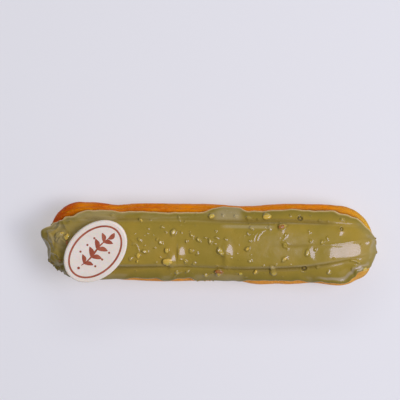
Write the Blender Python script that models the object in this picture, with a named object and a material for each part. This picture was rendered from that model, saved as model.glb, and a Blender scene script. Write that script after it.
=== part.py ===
"""A pistachio eclair: a piped choux bun, dipped in green icing that holds chopped nuts, with a thin oval
plaque of white chocolate pressed into the icing near one end.

It lies along X on its flat base, with +Z up. North is +Y and east is +X in the names below. Sizes and
places are in millimetres, and MM turns them into the scene's metres."""

import math
import random

import bmesh
import bpy
import numpy as np
from mathutils import Matrix, Vector

MM = 0.001

# The bun, seen from above: two straight sides that end in quarter ellipses, unlike at each corner.
WEST_TIP = -72.0
EAST_TIP = 73.6
NORTH, SOUTH = 1, -1
HALF_WIDTH = {NORTH: 17.7, SOUTH: 17.0}
WEST_ROUNDING = {NORTH: 14.8, SOUTH: 18.0}
EAST_ROUNDING = {NORTH: 15.6, SOUTH: 10.5}
# Where the oven swelled or pinched a side: place along X, reach, and how far the side moves out.
SWELLS = {
    NORTH: ((-42, 6, -1.0), (12, 9, -0.8), (41, 10, 1.0), (53, 6, 0.4)),
    SOUTH: ((-42, 6, -0.6), (3, 10, -0.6), (12, 5, -0.5), (23, 6, 0.6), (35, 6, 0.5), (46, 4, -0.5),
            (57, 6, 0.7), (66, 3.2, -1.5), (73, 2.5, 2.0)),
}

# The bun, seen from an end.
WIDEST_HEIGHT = 11.0
CROWN_HEIGHT = 26.4
CROWN_FALL = 2.6  # how much lower the crown is where its line ends, near each tip
CROWN_WAVES = ((0.25, 57, 0.0), (0.2, 145, 0.16))  # height, length, and start as a share of the length
CROWN_LINE = 0.78  # the crown line's length, as a share of the bun's
BASE_REACH = 0.66  # the flat base's width, as a share of the bun's
UPPER_SQUARENESS = 0.90  # the exponents of the two superellipses: 1 is a plain ellipse, less is boxier
LOWER_SQUARENESS = 0.80

# Flutes left by the star nozzle. On top: distance north of the middle, depth, half-width, and how far
# the flute bends north by the time it reaches the east tip.
TOP_FLUTES = ((9.3, 0.75, 1.1, -1.0), (0.1, 0.25, 1.0, 3.5), (-10.0, 0.75, 1.2, 8.0))
FLUTE_BEND = 40.0  # the length at the east end over which they bend
TOP_FLUTE_END = 75.0  # degrees down from the crown, below which there are only the side flutes
SIDE_FLUTES = (66.0, 101.0)  # degrees down from the crown
SIDE_FLUTE_DEPTH = 0.45
SIDE_FLUTE_SPREAD = 5.0  # degrees
FLUTE_FADE = 8.0  # the length at both tips over which all flutes fade out

# The icing.
GAP = 0.3  # air between the plaque and the icing
UNDER_ICING = 0.5  # air between the icing and the bun, more than the facets of either one take up
ICING = 1.5  # thickness
BEAD = 0.35  # extra thickness just inside the rim
BEAD_LENGTH = 1.6  # over which the rim rounds off
RIM_EDGE = 0.3  # thickness left at the very rim
# How far inside the bun's outline the rim lies, by its place along X.
RIM_INSET = {
    NORTH: ((-72, 0.7), (-70.5, 1.8), (-68, 4.2), (-64, 5.9), (-57, 5.2), (-44, 4.3), (-23, 4.7),
            (-6, 4.3), (7, 1.6), (13, 1.7), (19, 3.4), (42, 3.6), (50, 3.7), (57, 3.4), (61, 4.2), (65, 3.5),
            (68, 2.7), (71, 2.0), (73.6, 0.8)),
    SOUTH: ((-72, 0.7), (-40, 1.3), (-35, 2.3), (-24, 2.3), (-19.5, 1.1), (-13.5, 2.4), (-9, 2.4),
            (-5, 1.1), (13, 1.0), (20, 2.7), (40, 2.7), (46, 1.4), (52, 2.8), (58, 2.9), (63, 2.5),
            (67, 3.3), (69, 4.2), (71, 3.5), (72.4, 1.8), (73.6, 0.8)),
}
# Soft swells of icing: place along X and Y, reach along X and Y, and rise.
LOBES = ((-71.0, 3.1, 4.0, 2.8, 3.0), (-69.0, -8.5, 3.0, 2.8, 0.9), (-55.0, 9.5, 9.0, 3.2, 0.6))

# Chopped nuts in the icing. The larger ones have their places: X, Y and length. The others are drawn.
LARGE_NUTS = (
    (-66.9, 2.6, 4.0), (-63.4, 1.9, 2.6), (-30.6, 10.1, 2.4), (-31.6, -5.6, 2.6), (-28.2, -3.7, 3.0),
    (-21.6, 0.4, 2.6), (-15.9, 4.8, 3.4), (-13.2, 11.0, 2.8), (-18.9, -3.2, 2.4), (-18.3, -8.2, 4.2),
    (-14.0, -3.6, 4.8), (-8.2, -3.3, 2.4), (-14.2, -12.5, 2.4), (-7.8, 3.9, 2.4), (-4.6, 2.0, 2.8),
    (0.2, 1.4, 2.8), (0.9, 12.4, 3.0), (-1.4, -13.6, 2.6), (4.6, -12.3, 4.2), (4.6, -2.9, 4.0),
    (8.6, -3.2, 3.2), (11.6, 12.4, 2.4), (17.2, 11.6, 3.0), (25.3, 12.6, 4.4), (16.7, -1.8, 2.4),
    (18.1, -7.1, 2.4), (20.9, -12.0, 2.6), (28.7, -11.3, 6.0), (31.8, 8.2, 4.0), (33.4, 0.0, 2.6),
    (33.4, -5.9, 3.2), (43.4, -3.2, 3.2), (44.2, 6.2, 2.0), (59.0, 12.0, 2.4),
    (67.3, 1.0, 1.6), (53.2, -11.5, 2.8), (65.4, -7.4, 4.2),
)
DRAWN_NUTS = 28
DRAWN_NUT_SIZES = (1.3, 2.3)
SMOOTH_PATCHES = ((61, -2, 9, 5), (26, -1, 6, 6))  # without drawn nuts: X, Y, and reach along X and Y
NUT_SPACING = 0.8  # between any two
NUT_FIELD = 0.82  # how far out they lie, over the bun's outline
NUT_SEED = 13
NUT_WIDTH = (0.6, 0.85)  # least and most, over its length
NUT_HEIGHT = 0.42  # over its length
NUT_RISE = (0.7, 1.0)  # least and most that it stands out of the icing
NUT_JITTER = 0.14  # how far its corners move, over its size

# The plaque.
PLAQUE_HALF_LENGTH = 16.2
PLAQUE_HALF_WIDTH = 11.7
PLAQUE_THICKNESS = 2.2
PLAQUE_ROUNDING = 0.6
PLAQUE_AT = (-50.3, -4.0)
PLAQUE_TURN = 46.0  # degrees from X to its long axis
PLAQUE_LEAN = (4.0, 12.0)  # degrees that it leans west and south
PLAQUE_SUNK = 0.8  # how deep it is pressed into the icing

# Mesh fineness.
STATIONS = 51  # from tip to tip along each side, closer together at the tips
UPPER_REACHES = (0.07, 0.20, 0.33, 0.43, 0.49, 0.54, 0.60, 0.67, 0.78, 0.88, 0.95, 1.0)
LOWER_TURNS = (101, 114, 130, 150, 168, 180)  # degrees down from the crown
ICING_SHARES = (0.07, 0.20, 0.33, 0.45, 0.54, 0.63, 0.72, 0.83, 0.92, 0.965, 0.99, 1.0)
PLAQUE_SEGMENTS = 48
ROUNDING_STEPS = 3

SHARP_EDGE = math.radians(40)  # the least angle that isn't shaded smooth

SURFACES = {  # colour, roughness
    "baked_choux": ((0.50, 0.19, 0.022), 0.55),
    "pistachio_icing": ((0.27, 0.21, 0.052), 0.28),
    "white_chocolate": ((0.80, 0.74, 0.65), 0.38),
}


def clear_scene():
    for obj in list(bpy.data.objects):
        bpy.data.objects.remove(obj)


def material(name):
    """A Principled material with that surface's colour and roughness."""
    colour, roughness = SURFACES[name]
    made = bpy.data.materials.new(name)
    made.use_nodes = True
    shader = made.node_tree.nodes["Principled BSDF"]
    shader.inputs["Base Color"].default_value = (*colour, 1)
    shader.inputs["Roughness"].default_value = roughness
    shader.inputs["Metallic"].default_value = 0
    return made


def solid(name, points, faces, surface):
    """An object of these points, in millimetres, and these lists of point numbers."""
    mesh = bpy.data.meshes.new(name)
    mesh.from_pydata((points * MM).tolist(), [], [[int(i) for i in face] for face in faces])
    mesh.materials.append(material(surface))
    obj = bpy.data.objects.new(name, mesh)
    bpy.context.collection.objects.link(obj)
    return obj


def smooth_between(knots, x):
    """The value at x, easing from each knot (place, value) to the next."""
    places, values = np.array(knots, float).T
    after = np.clip(np.searchsorted(places, x), 1, len(places) - 1)
    share = np.clip((x - places[after - 1]) / (places[after] - places[after - 1]), 0, 1)
    eased = share * share * (3 - 2 * share)
    return values[after - 1] + (values[after] - values[after - 1]) * eased


def outline(x, side):
    """How far the bun reaches north or south of the middle at x, signed."""
    east = (x - EAST_TIP + EAST_ROUNDING[side]) / EAST_ROUNDING[side]
    west = (WEST_TIP + WEST_ROUNDING[side] - x) / WEST_ROUNDING[side]
    taper = np.sqrt((1 - np.clip(east, 0, 1) ** 2) * (1 - np.clip(west, 0, 1) ** 2))
    swell = sum(rise * np.exp(-(((x - at) / reach) ** 2)) for at, reach, rise in SWELLS[side])
    return side * (HALF_WIDTH[side] + swell) * taper


def crown(x):
    """Height of the crown line at x, lower towards its ends and a little uneven between them."""
    share = x / (CROWN_LINE * EAST_TIP)
    waves = sum(high * np.sin(2 * math.pi * (x / length + start)) for high, length, start in CROWN_WAVES)
    return CROWN_HEIGHT - CROWN_FALL * share**4 + waves


def bun_point(x, y_out, turn):
    """The bare bun's surface on the line from the crown, over the outline at (x, y_out), to the base.
    turn is in degrees: 0 at the crown, 90 at the widest line, 180 at the edge of the flat base."""
    sine = np.abs(np.sin(np.radians(turn)))
    cosine = np.abs(np.cos(np.radians(turn)))
    upper = turn <= 90
    reach = np.where(upper, sine**UPPER_SQUARENESS, BASE_REACH + (1 - BASE_REACH) * sine**LOWER_SQUARENESS)
    x_crown = CROWN_LINE * x
    rise = (crown(x_crown) - WIDEST_HEIGHT) * cosine**UPPER_SQUARENESS
    height = WIDEST_HEIGHT + np.where(upper, rise, -WIDEST_HEIGHT * cosine**LOWER_SQUARENESS)
    return np.stack([x_crown + reach * (x - x_crown), reach * y_out, height], axis=-1)


def flute_depth(point, turn):
    """How deep the nozzle's flutes are at a point of the bun, which fade out towards the tips."""
    x, y = point[..., 0], point[..., 1]
    depth = SIDE_FLUTE_DEPTH * sum(
        np.exp(-(((turn - at) / SIDE_FLUTE_SPREAD) ** 2)) for at in SIDE_FLUTES
    )
    into_bend = np.clip((x - EAST_TIP) / FLUTE_BEND + 1, 0, 1)
    for north, deep, spread, bend in TOP_FLUTES:
        path = north + bend * into_bend**2
        depth = depth + deep * np.exp(-(((y - path) / spread) ** 2)) * (turn < TOP_FLUTE_END)
    fade = np.clip((EAST_TIP - x) / FLUTE_FADE, 0, 1) * np.clip((x - WEST_TIP) / FLUTE_FADE, 0, 1)
    return depth * fade


def normals(grid):
    """Unit normals of a grid of points, stations round the bun by turns down it."""
    along = np.roll(grid, -1, axis=0) - np.roll(grid, 1, axis=0)
    down = np.gradient(grid, axis=1)
    across = np.cross(along, down)
    across[:, 0] = (0, 0, 1)  # the crown line
    return across / np.linalg.norm(across, axis=-1, keepdims=True)


def around():
    """The stations round the bun, as x and y on its outline: west to east along the north side, and
    back along the south side."""
    share = np.sin(np.linspace(-1, 1, STATIONS) * math.pi / 2)
    x = (EAST_TIP + WEST_TIP) / 2 + share * (EAST_TIP - WEST_TIP) / 2
    back = slice(-2, 0, -1)
    return np.concatenate([x, x[back]]), np.concatenate([outline(x, NORTH), outline(x, SOUTH)[back]])


def fluted(x, y_out, turns):
    """The bun's points, flutes pressed in, with the normals, for stations by turns."""
    grid = bun_point(x[:, None], y_out[:, None], turns)
    facing = normals(grid)
    pressed = grid - facing * flute_depth(grid, turns)[..., None]
    flat = turns >= 180
    return np.where(flat[..., None], grid, pressed), facing


def turn_of(reach):
    """The turn, in degrees, at which the upper bun reaches this share of its outline."""
    return np.degrees(np.arcsin(np.clip(reach, 0, 1) ** (1 / UPPER_SQUARENESS)))


def ring_faces(first, second):
    """Quads between two closed rings of point numbers."""
    return list(zip(first, np.roll(first, -1), np.roll(second, -1), second))


def line_faces(line, ring):
    """Quads between a line of point numbers and the ring round it, which has two points for each."""
    return ring_faces(np.concatenate([line, line[-2:0:-1]]), ring)


def numbered(grid, start):
    """Point numbers of a grid whose first turn is the crown line, which both sides share, and its
    points in that order."""
    stations, turns = grid.shape[:2]
    line = start + np.arange(STATIONS)
    rings = start + STATIONS + np.arange(stations * (turns - 1)).reshape(turns - 1, stations)
    points = np.concatenate([grid[:STATIONS, 0], grid[:, 1:].transpose(1, 0, 2).reshape(-1, 3)])
    return line, rings, points


def dome_faces(line, rings):
    """Quads from the crown line down through all the rings."""
    faces = line_faces(line, rings[0])
    for upper, lower in zip(rings[:-1], rings[1:]):
        faces += ring_faces(upper, lower)
    return faces


def choux_bun():
    """The baked bun, one solid with a flat base."""
    x, y_out = around()
    turns = np.concatenate([[0], turn_of(np.array(UPPER_REACHES)), LOWER_TURNS])
    grid, _ = fluted(x, y_out, np.broadcast_to(turns, (len(x), len(turns))))
    line, rings, points = numbered(grid, 0)
    base_line = len(points) + np.arange(STATIONS)
    base = grid[:STATIONS, 0] * (1, 1, 0)
    faces = dome_faces(line, rings) + [face[::-1] for face in line_faces(base_line, rings[-1])]
    return solid("choux_bun", np.concatenate([points, base]), faces, "baked_choux")


def rim_turn(x, y_out):
    """The turn at which the icing ends, from the rim's inset inside the outline."""
    inset = np.where(y_out >= 0, smooth_between(RIM_INSET[NORTH], x), smooth_between(RIM_INSET[SOUTH], x))
    crown_to_outline = np.hypot(y_out, (1 - CROWN_LINE) * x)
    return turn_of(1 - inset / crown_to_outline)


def icing_thickness(grid, from_rim):
    """Thickness of the icing at the bun's points, given how far up from the rim they are."""
    x, y = grid[..., 0], grid[..., 1]
    rounding = np.sqrt(1 - (1 - np.clip(from_rim / BEAD_LENGTH, 0, 1)) ** 2)
    bead = BEAD * np.exp(-(((from_rim - BEAD_LENGTH) / BEAD_LENGTH) ** 2))
    lobes = sum(
        rise * np.exp(-(((x - at_x) / reach_x) ** 2) - ((y - at_y) / reach_y) ** 2)
        for at_x, at_y, reach_x, reach_y, rise in LOBES
    )
    return RIM_EDGE + (ICING - RIM_EDGE + bead + lobes) * rounding


def icing_sheet():
    """The icing without its nuts: a closed sheet that follows the bun from rim to rim."""
    x, y_out = around()
    turns = rim_turn(x, y_out)[:, None] * np.array([0, *ICING_SHARES])
    grid, facing = fluted(x, y_out, turns)
    steps = np.linalg.norm(np.diff(grid, axis=1), axis=-1)
    from_rim = np.zeros(turns.shape)
    from_rim[:, :-1] = np.cumsum(steps[:, ::-1], axis=1)[:, ::-1]
    thickness = icing_thickness(grid, from_rim)
    outer = grid + facing * (UNDER_ICING + thickness)[..., None]
    inner = grid + facing * UNDER_ICING
    line, rings, points = numbered(outer, 0)
    inner_line, inner_rings, inner_points = numbered(inner, len(points))
    faces = dome_faces(line, rings) + ring_faces(rings[-1], inner_rings[-1])
    faces += [face[::-1] for face in dome_faces(inner_line, inner_rings)]
    sheet = np.concatenate([points, inner_points])
    return solid("pistachio_icing", sheet, faces, "pistachio_icing")


def top_of(obj, x, y):
    """The point of obj, in metres, that is seen from straight above (x, y), and the normal there."""
    hit, at, facing, _ = obj.ray_cast((x * MM, y * MM, 1), (0, 0, -1))
    return (at, facing) if hit else None


def object_of(name, shape):
    """An object with the bmesh's shape, in no collection yet."""
    mesh = bpy.data.meshes.new(name)
    shape.to_mesh(mesh)
    shape.free()
    return bpy.data.objects.new(name, mesh)


def chopped_nut(name, icing, place, draw):
    """An angular scrap of nut that lies half sunk in the icing: an icosahedron, squashed and uneven."""
    x, y, length = place
    at, facing = top_of(icing, x, y)
    rise = min(max(length * NUT_HEIGHT / 2, NUT_RISE[0]), NUT_RISE[1])
    half = Vector((length / 2, length / 2 * draw.uniform(*NUT_WIDTH), rise)) * MM
    shape = bmesh.new()
    bmesh.ops.create_icosphere(shape, subdivisions=1, radius=1)
    for vert in shape.verts:
        vert.co *= draw.uniform(1 - NUT_JITTER, 1 + NUT_JITTER)
        vert.co *= half
    turned = Matrix.Rotation(draw.uniform(0, math.pi), 3, "Z")
    bmesh.ops.rotate(shape, verts=shape.verts, matrix=facing.to_track_quat("Z", "Y").to_matrix() @ turned)
    bmesh.ops.translate(shape, verts=shape.verts, vec=at)
    return object_of(name, shape)


def clear_of_plaque(x, y, margin):
    """Whether a nut at (x, y) stays out from under the plaque."""
    turn = math.radians(PLAQUE_TURN)
    dx, dy = x - PLAQUE_AT[0], y - PLAQUE_AT[1]
    along = dx * math.cos(turn) + dy * math.sin(turn)
    across = dy * math.cos(turn) - dx * math.sin(turn)
    share = math.hypot(along / (PLAQUE_HALF_LENGTH + margin), across / (PLAQUE_HALF_WIDTH + margin))
    return share > 1


def on_smooth_patch(x, y):
    return any(
        math.hypot((x - at_x) / reach_x, (y - at_y) / reach_y) < 1
        for at_x, at_y, reach_x, reach_y in SMOOTH_PATCHES
    )


def nut_places(icing, draw):
    """Place and length of each nut: the larger ones, then others drawn over the rest of the top."""
    places = list(LARGE_NUTS)
    while len(places) < len(LARGE_NUTS) + DRAWN_NUTS:
        x = draw.uniform(WEST_TIP, EAST_TIP) * NUT_FIELD
        y = float(outline(x, draw.choice((NORTH, SOUTH)))) * NUT_FIELD * draw.random()
        size = draw.uniform(*DRAWN_NUT_SIZES)
        apart = [math.dist((x, y), place[:2]) - (size + place[2]) / 2 for place in places]
        free = min(apart) > NUT_SPACING and clear_of_plaque(x, y, size / 2 + NUT_SPACING)
        if free and not on_smooth_patch(x, y) and top_of(icing, x, y):
            places.append((x, y, size))
    return places


def apply_boolean(obj, operation, tools):
    """Joins or cuts obj with the tools, which are then removed."""
    group = bpy.data.collections.new("boolean_tools")
    bpy.context.scene.collection.children.link(group)
    for tool in tools:
        group.objects.link(tool)
    modifier = obj.modifiers.new(operation.lower(), "BOOLEAN")
    modifier.operation = operation
    modifier.operand_type = "COLLECTION"
    modifier.collection = group
    modifier.solver = "EXACT"
    bpy.context.view_layer.update()
    graph = bpy.context.evaluated_depsgraph_get()
    joined = bpy.data.meshes.new_from_object(obj.evaluated_get(graph))
    obj.modifiers.remove(modifier)
    obj.data = joined
    for tool in tools:
        bpy.data.objects.remove(tool)
    bpy.data.collections.remove(group)


def oval_disc(name, middle, grown):
    """The plaque's shape round its middle, grown outwards by that much on every side."""
    shape = bmesh.new()
    bmesh.ops.create_cone(shape, cap_ends=True, segments=PLAQUE_SEGMENTS, radius1=1, radius2=1, depth=2)
    size = (PLAQUE_HALF_LENGTH + grown, PLAQUE_HALF_WIDTH + grown, PLAQUE_THICKNESS / 2 + grown)
    bmesh.ops.scale(shape, verts=shape.verts, vec=Vector(size) * MM)
    disc = object_of(name, shape)
    rounding = disc.modifiers.new("rounding", "BEVEL")
    rounding.width = PLAQUE_ROUNDING * MM
    rounding.segments = ROUNDING_STEPS
    rounding.limit_method = "ANGLE"
    west, south = (math.radians(lean) for lean in PLAQUE_LEAN)
    lean = Matrix.Rotation(south, 4, "X") @ Matrix.Rotation(-west, 4, "Y")
    disc.matrix_world = Matrix.Translation(middle) @ lean @ Matrix.Rotation(math.radians(PLAQUE_TURN), 4, "Z")
    return disc


def icing_and_plaque():
    """The icing with its nuts fused on, and the plaque in the seat that it pressed into the icing."""
    icing = icing_sheet()
    bpy.context.view_layer.update()
    draw = random.Random(NUT_SEED)
    nuts = [chopped_nut(f"nut_{i}", icing, place, draw) for i, place in enumerate(nut_places(icing, draw))]
    touching, _ = top_of(icing, *PLAQUE_AT)
    middle = touching + Vector((0, 0, PLAQUE_THICKNESS / 2 - PLAQUE_SUNK)) * MM
    apply_boolean(icing, "UNION", nuts)
    apply_boolean(icing, "DIFFERENCE", [oval_disc("plaque_seat", middle, GAP)])
    plaque = oval_disc("white_chocolate_plaque", middle, 0)
    plaque.data.materials.append(material("white_chocolate"))
    bpy.context.collection.objects.link(plaque)
    return icing, plaque


def main():
    clear_scene()
    bun = choux_bun()
    icing, plaque = icing_and_plaque()
    for obj in (bun, icing, plaque):
        obj.data.shade_smooth()
        obj.data.set_sharp_from_angle(angle=SHARP_EDGE)


main()
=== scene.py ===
"""The looks of a pistachio eclair: baked choux, glossy icing full of chopped nuts, and a white chocolate
plaque with a printed ornament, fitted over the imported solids.

The eclair lies along X with +Z up. North is +Y and east is +X in the names below. Sizes and places are in
millimetres, and MM turns them into the scene's metres."""

import itertools
import math
import random

import bpy
import numpy as np
from mathutils import Matrix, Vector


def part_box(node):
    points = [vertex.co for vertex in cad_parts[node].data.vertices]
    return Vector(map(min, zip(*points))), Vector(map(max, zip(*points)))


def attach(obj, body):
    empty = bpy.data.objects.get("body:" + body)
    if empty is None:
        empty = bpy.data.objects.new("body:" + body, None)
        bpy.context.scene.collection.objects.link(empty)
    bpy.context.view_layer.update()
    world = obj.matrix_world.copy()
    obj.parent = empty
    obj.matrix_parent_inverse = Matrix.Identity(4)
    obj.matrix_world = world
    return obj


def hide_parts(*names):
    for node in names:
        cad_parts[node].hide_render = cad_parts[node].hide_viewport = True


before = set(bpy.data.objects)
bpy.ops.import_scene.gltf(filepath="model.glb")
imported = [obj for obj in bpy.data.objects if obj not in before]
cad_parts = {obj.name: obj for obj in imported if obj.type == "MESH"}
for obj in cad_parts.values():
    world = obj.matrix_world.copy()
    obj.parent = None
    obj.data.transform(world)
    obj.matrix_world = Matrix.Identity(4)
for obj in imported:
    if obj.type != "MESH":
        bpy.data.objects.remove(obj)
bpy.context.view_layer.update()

MM = 0.001

# The bun, seen from above: two straight sides that end in quarter ellipses, unlike at each corner.
WEST_TIP = -72.0
EAST_TIP = 73.6
NORTH, SOUTH = 1, -1
HALF_WIDTH = {NORTH: 17.7, SOUTH: 17.0}
WEST_ROUNDING = {NORTH: 14.8, SOUTH: 18.0}
EAST_ROUNDING = {NORTH: 15.6, SOUTH: 10.5}
# Where the oven swelled or pinched a side: place along X, reach, and how far the side moves out.
SWELLS = {
    NORTH: ((-42, 6, -1.0), (12, 9, -0.8), (41, 10, 1.0), (53, 6, 0.4)),
    SOUTH: ((-42, 6, -0.6), (3, 10, -0.6), (12, 5, -0.5), (23, 6, 0.6), (35, 6, 0.5), (46, 4, -0.5),
            (57, 6, 0.7), (66, 3.2, -1.5), (73, 2.5, 2.0)),
}

# The bun, seen from an end.
WIDEST_HEIGHT = 11.0
CROWN_HEIGHT = 26.4
CROWN_FALL = 2.6  # how much lower the crown is where its line ends, near each tip
CROWN_WAVES = ((0.25, 57, 0.0), (0.2, 145, 0.16))  # height, length, and start as a share of the length
CROWN_LINE = 0.78  # the crown line's length, as a share of the bun's
CROWN_BLEND = 14.0  # degrees down from the crown line, over which its normals ease into the sides'
BASE_REACH = 0.66  # the flat base's width, as a share of the bun's
UPPER_SQUARENESS = 0.90  # the exponents of the two superellipses: 1 is a plain ellipse, less is boxier
LOWER_SQUARENESS = 0.80

# Flutes left by the star nozzle. On top: distance north of the middle, depth, half-width, and how far
# the flute bends north by the time it reaches the east tip.
TOP_FLUTES = ((9.3, 0.75, 1.1, -1.0), (0.1, 0.25, 1.0, 3.5), (-10.0, 0.75, 1.2, 8.0))
FLUTE_BEND = 40.0  # the length at the east end over which they bend
TOP_FLUTE_END = 75.0  # degrees down from the crown, below which there are only the side flutes
SIDE_FLUTES = (66.0, 101.0)  # degrees down from the crown
SIDE_FLUTE_DEPTH = 0.45
SIDE_FLUTE_SPREAD = 5.0  # degrees
FLUTE_FADE = 8.0  # the length at both tips over which all flutes fade out

# The crust's relief.
CRUST_SWELLS = (0.30, 0.10)  # height of its slow swells, and of smaller ones
CRUST_WRINKLE = 0.07
CRUST_STRETCH = (0.22, 1, 1)  # what noise is multiplied by to be drawn out along the bun
CRACK_DEPTH = 0.28
CRACK_WIDTH = 0.10  # in units of the noise whose zero line the cracks follow
BASE_CALM = 14.0  # degrees above the base's edge, over which the relief fades out

# The icing.
ICING = 1.7  # thickness
ICING_SUNK = 0.4  # how far its hidden underside lies inside the bun
BEAD = 0.35  # extra thickness just inside the rim
BEAD_LENGTH = 1.5  # over which the rim rounds off
ROLL = 1.2  # more bead at the south-east corner, where the icing rolled back
ROLL_AT = (64.0, -12.0)
ROLL_REACH = 11.0
POUR_WAVES = (0.22, 0.09)  # height of its slow unevenness, and of a finer one
# How far inside the bun's outline the rim lies, by its place along X.
RIM_INSET = {
    NORTH: ((-72, 0.7), (-70.5, 1.8), (-68, 4.2), (-64, 5.9), (-57, 5.2), (-44, 4.3), (-23, 4.7),
            (-6, 4.3), (7, 1.6), (13, 1.7), (19, 3.4), (42, 3.6), (50, 3.7), (57, 3.4), (61, 4.2), (65, 3.5),
            (68, 2.7), (71, 2.0), (73.6, 0.8)),
    SOUTH: ((-72, 0.7), (-40, 1.3), (-35, 2.3), (-24, 2.3), (-19.5, 1.1), (-13.5, 2.4), (-9, 2.4),
            (-5, 1.1), (13, 1.0), (20, 2.7), (40, 2.7), (46, 1.4), (52, 2.8), (58, 2.9), (63, 2.5),
            (67, 3.3), (69, 4.2), (71, 3.5), (72.4, 1.8), (73.6, 0.8)),
}
RIM_WAVER = 0.35  # how far the rim wanders in and out of that line
LEAST_INSET = 0.3  # of the rim, wherever it wanders
BARE_RIM = (0.4, 2.2)  # from the rim, where nuts and wrinkles begin to stand out, and do so in full
# Soft swells of icing: place along X and Y, reach along X and Y, and rise.
LOBES = ((-71.0, 3.1, 4.0, 2.8, 3.0), (-69.0, -8.5, 3.0, 2.8, 0.9), (-55.0, 9.5, 9.0, 3.2, 0.6))
# Thin wrinkles in the icing's skin: from X, Y to X, Y, and height.
WRINKLES = (
    (-34.7, 1.5, -31.2, -3.8, 0.22), (-15.2, -15.0, -12.4, -12.2, 0.3), (62.8, -6.4, 66.4, -7.4, 0.6),
    (63.6, -10.0, 65.8, -8.3, 0.6), (32.2, 1.2, 34.4, -1.4, 0.35),
    (19.6, 2.2, 22.6, 6.2, 0.14), (21.2, 2.4, 24.4, 6.6, 0.14), (3.2, -4.9, 8.6, -4.3, 0.25),
    (-70.6, -4.6, -66.6, -6.8, 0.4), (-68.0, 0.5, -65.6, 3.4, 0.45), (-67.2, 0.0, -64.6, 2.6, 0.4),
    (-71.6, 4.4, -69.8, -1.6, 0.4), (-70.0, 6.4, -62.0, 9.4, 0.35),
)
WRINKLE_WIDTH = 0.45
WRINKLE_BOW = 0.12  # how far its middle lies off its ends, over its length
# Small burst bubbles: place along X and Y, and radius.
BUBBLES = ((40.1, 12.1, 1.2), (58.6, 7.6, 0.9), (42.0, -10.0, 1.2))
BUBBLE_DEPTH = 0.42  # of the moat inside it, over its radius
BUBBLE_RIM = 0.4  # height of the rim round that moat, over its depth
FLUTE_FILL = 0.65  # how much of each top flute the icing fills where its crease is open
CREASE_WIDTH = 0.6  # of the narrow crease where two ridges of icing meet
DARK_DEPTH = 0.42  # a crease that is deeper gets more painted shade as well
CREASE_WAVER = (0.3, 9.0)  # how far it wanders off its line, and a wave's length over 2 pi
CREASE_PULSE = (0.35, 13.0)  # half the share of it that comes and goes, and such a wave's length over 2 pi
LEDGE_EDGE = (-0.35, 0.45)  # from the crease, where the ledge north of it starts, and where it is full
LIP_WIDTH = 0.4  # of the painted highlight on the lip along a crease
# The crease over each top flute. Four values ease from place to place along X: how open it is, its depth,
# the rise of the ledge on its north side, and the fall of the icing there. Then come three lengths: how
# far ledge and fall reach north, how far north of its flute the crease runs, and how far north of the
# crease the painted highlight on its lip lies, if it has one.
LEVEL = ((0, 0), (1, 0))
CREASES = (
    (
        ((-60, 0), (-50, 1)), ((30, 0.60), (42, 0.85), (51, 0.85), (57, 0.50), (67, 0.35)), LEVEL, LEVEL,
        1.0, 0.5, -0.75,
    ),
    (
        ((20, 0), (40, 1)), ((20, 0), (38, 0.12), (48, 0)), LEVEL, ((28, 0), (48, 0.8)),
        2.0, 0.0, None,
    ),
    (
        ((-60, 0), (-45, 1)), ((36, 0.50), (50, 0.15)), ((-60, 0), (-45, 0.45), (36, 0.45), (48, 0.2)),
        LEVEL, 2.2, 0.5, 0.75,
    ),
)
# Smooth mounds of icing: place along X and Y, reach east, west, and along Y, and rise.
MOUNDS = (
    (-13.5, -4.1, 2.2, 0.7, 3.4, 0.9), (-17.0, -7.4, 2.6, 1.0, 3.0, 1.1), (7.4, -4.2, 2.2, 1.4, 3.8, 0.95),
    (44.4, -2.8, 1.6, 1.6, 3.0, 0.2), (52.8, -2.0, 4.0, 4.0, 6.5, 0.25), (69.9, 2.0, 1.5, 1.4, 1.7, 1.2),
    (57.8, 6.8, 1.4, 1.4, 1.6, 0.4), (56.0, -1.5, 8.0, 7.0, 6.5, 0.55), (69.0, -3.2, 2.0, 4.5, 5.5, 0.8),
    (65.0, -6.2, 3.0, 4.0, 2.6, 0.5), (15.5, -6.5, 6.0, 6.0, 5.0, 0.3), (-38.0, 8.0, 7.0, 7.0, 4.0, 0.3),
    (47.0, 3.5, 4.0, 9.0, 3.5, 0.3), (57.3, -0.2, 2.0, 4.0, 0.8, 0.18),
)
DEEP_NUTS = ((-14.0, -3.6), (8.6, -3.2), (65.4, -7.4))  # nuts that lie under those mounds, and don't show
CALM_AT = (61.0, -3.0)  # the smoothest stretch of icing, and its reach along X and Y
CALM_REACH = (10.0, 7.0)
CALM = 0.8  # how much of the finer unevenness is missing there
FOLD_HEIGHT = 0.8  # of the folds at the west end
FOLD_ENDS = (-60.0, -65.0)  # along X, where they begin, and where they are full
FOLD_STRETCH = (1.3, 0.8, 1)  # what their noise is multiplied by
FOLD_LUMPS = 0.45  # height of the small lumps on them, over theirs

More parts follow.
